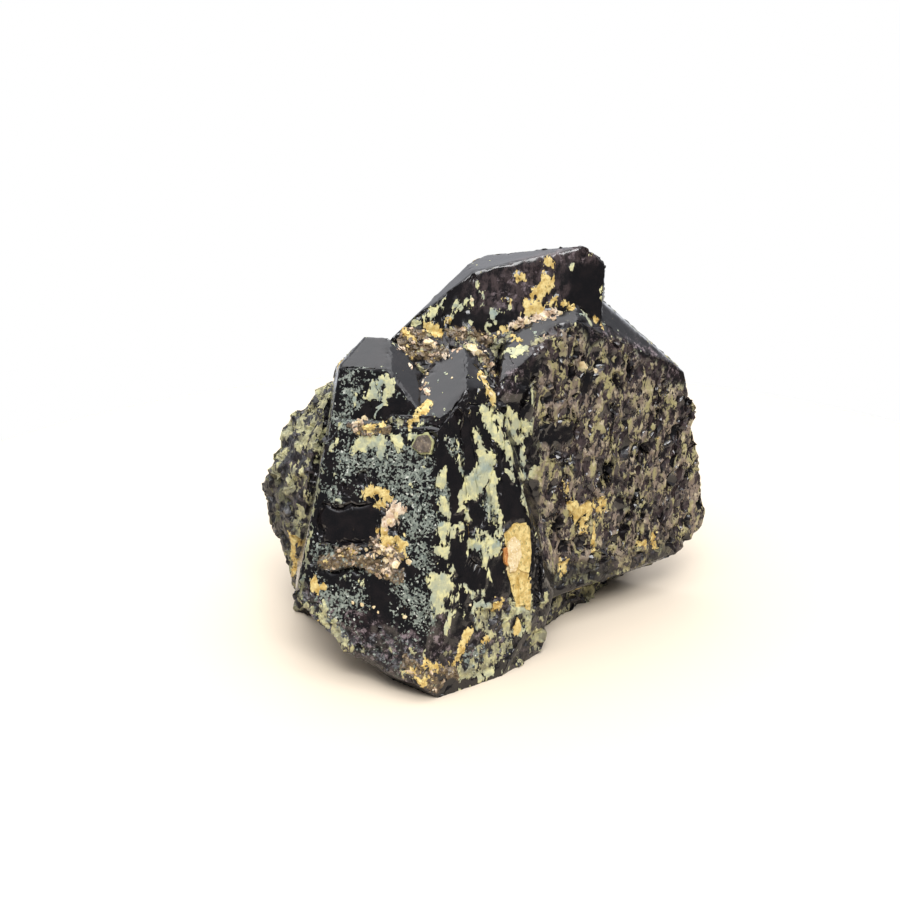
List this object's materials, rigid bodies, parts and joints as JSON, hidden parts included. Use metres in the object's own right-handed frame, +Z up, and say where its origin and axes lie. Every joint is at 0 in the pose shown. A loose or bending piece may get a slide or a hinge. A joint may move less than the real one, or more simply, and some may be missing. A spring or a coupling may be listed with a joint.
{
  "type": "mineral specimen",
  "caption": "Cluster of dark, blunt quartz crystals grown together on a rough broken base, standing freely on its flat-clipped underside.",
  "frame": {"origin": "centre of the bounding box, at the height of the resting underside", "axes": "+X to the viewer's right of the twin-headed front crystal, +Y to the back, +Z up as it stands"},
  "size_m": [0.1008, 0.1008, 0.0824],
  "materials": {
    "morion_quartz": "glassy crystal faces with dull mineral crust and rough broken rock"
  },
  "bodies": {
    "root": {"morion_quartz_cluster": "morion_quartz"}
  },
  "joints": []
}
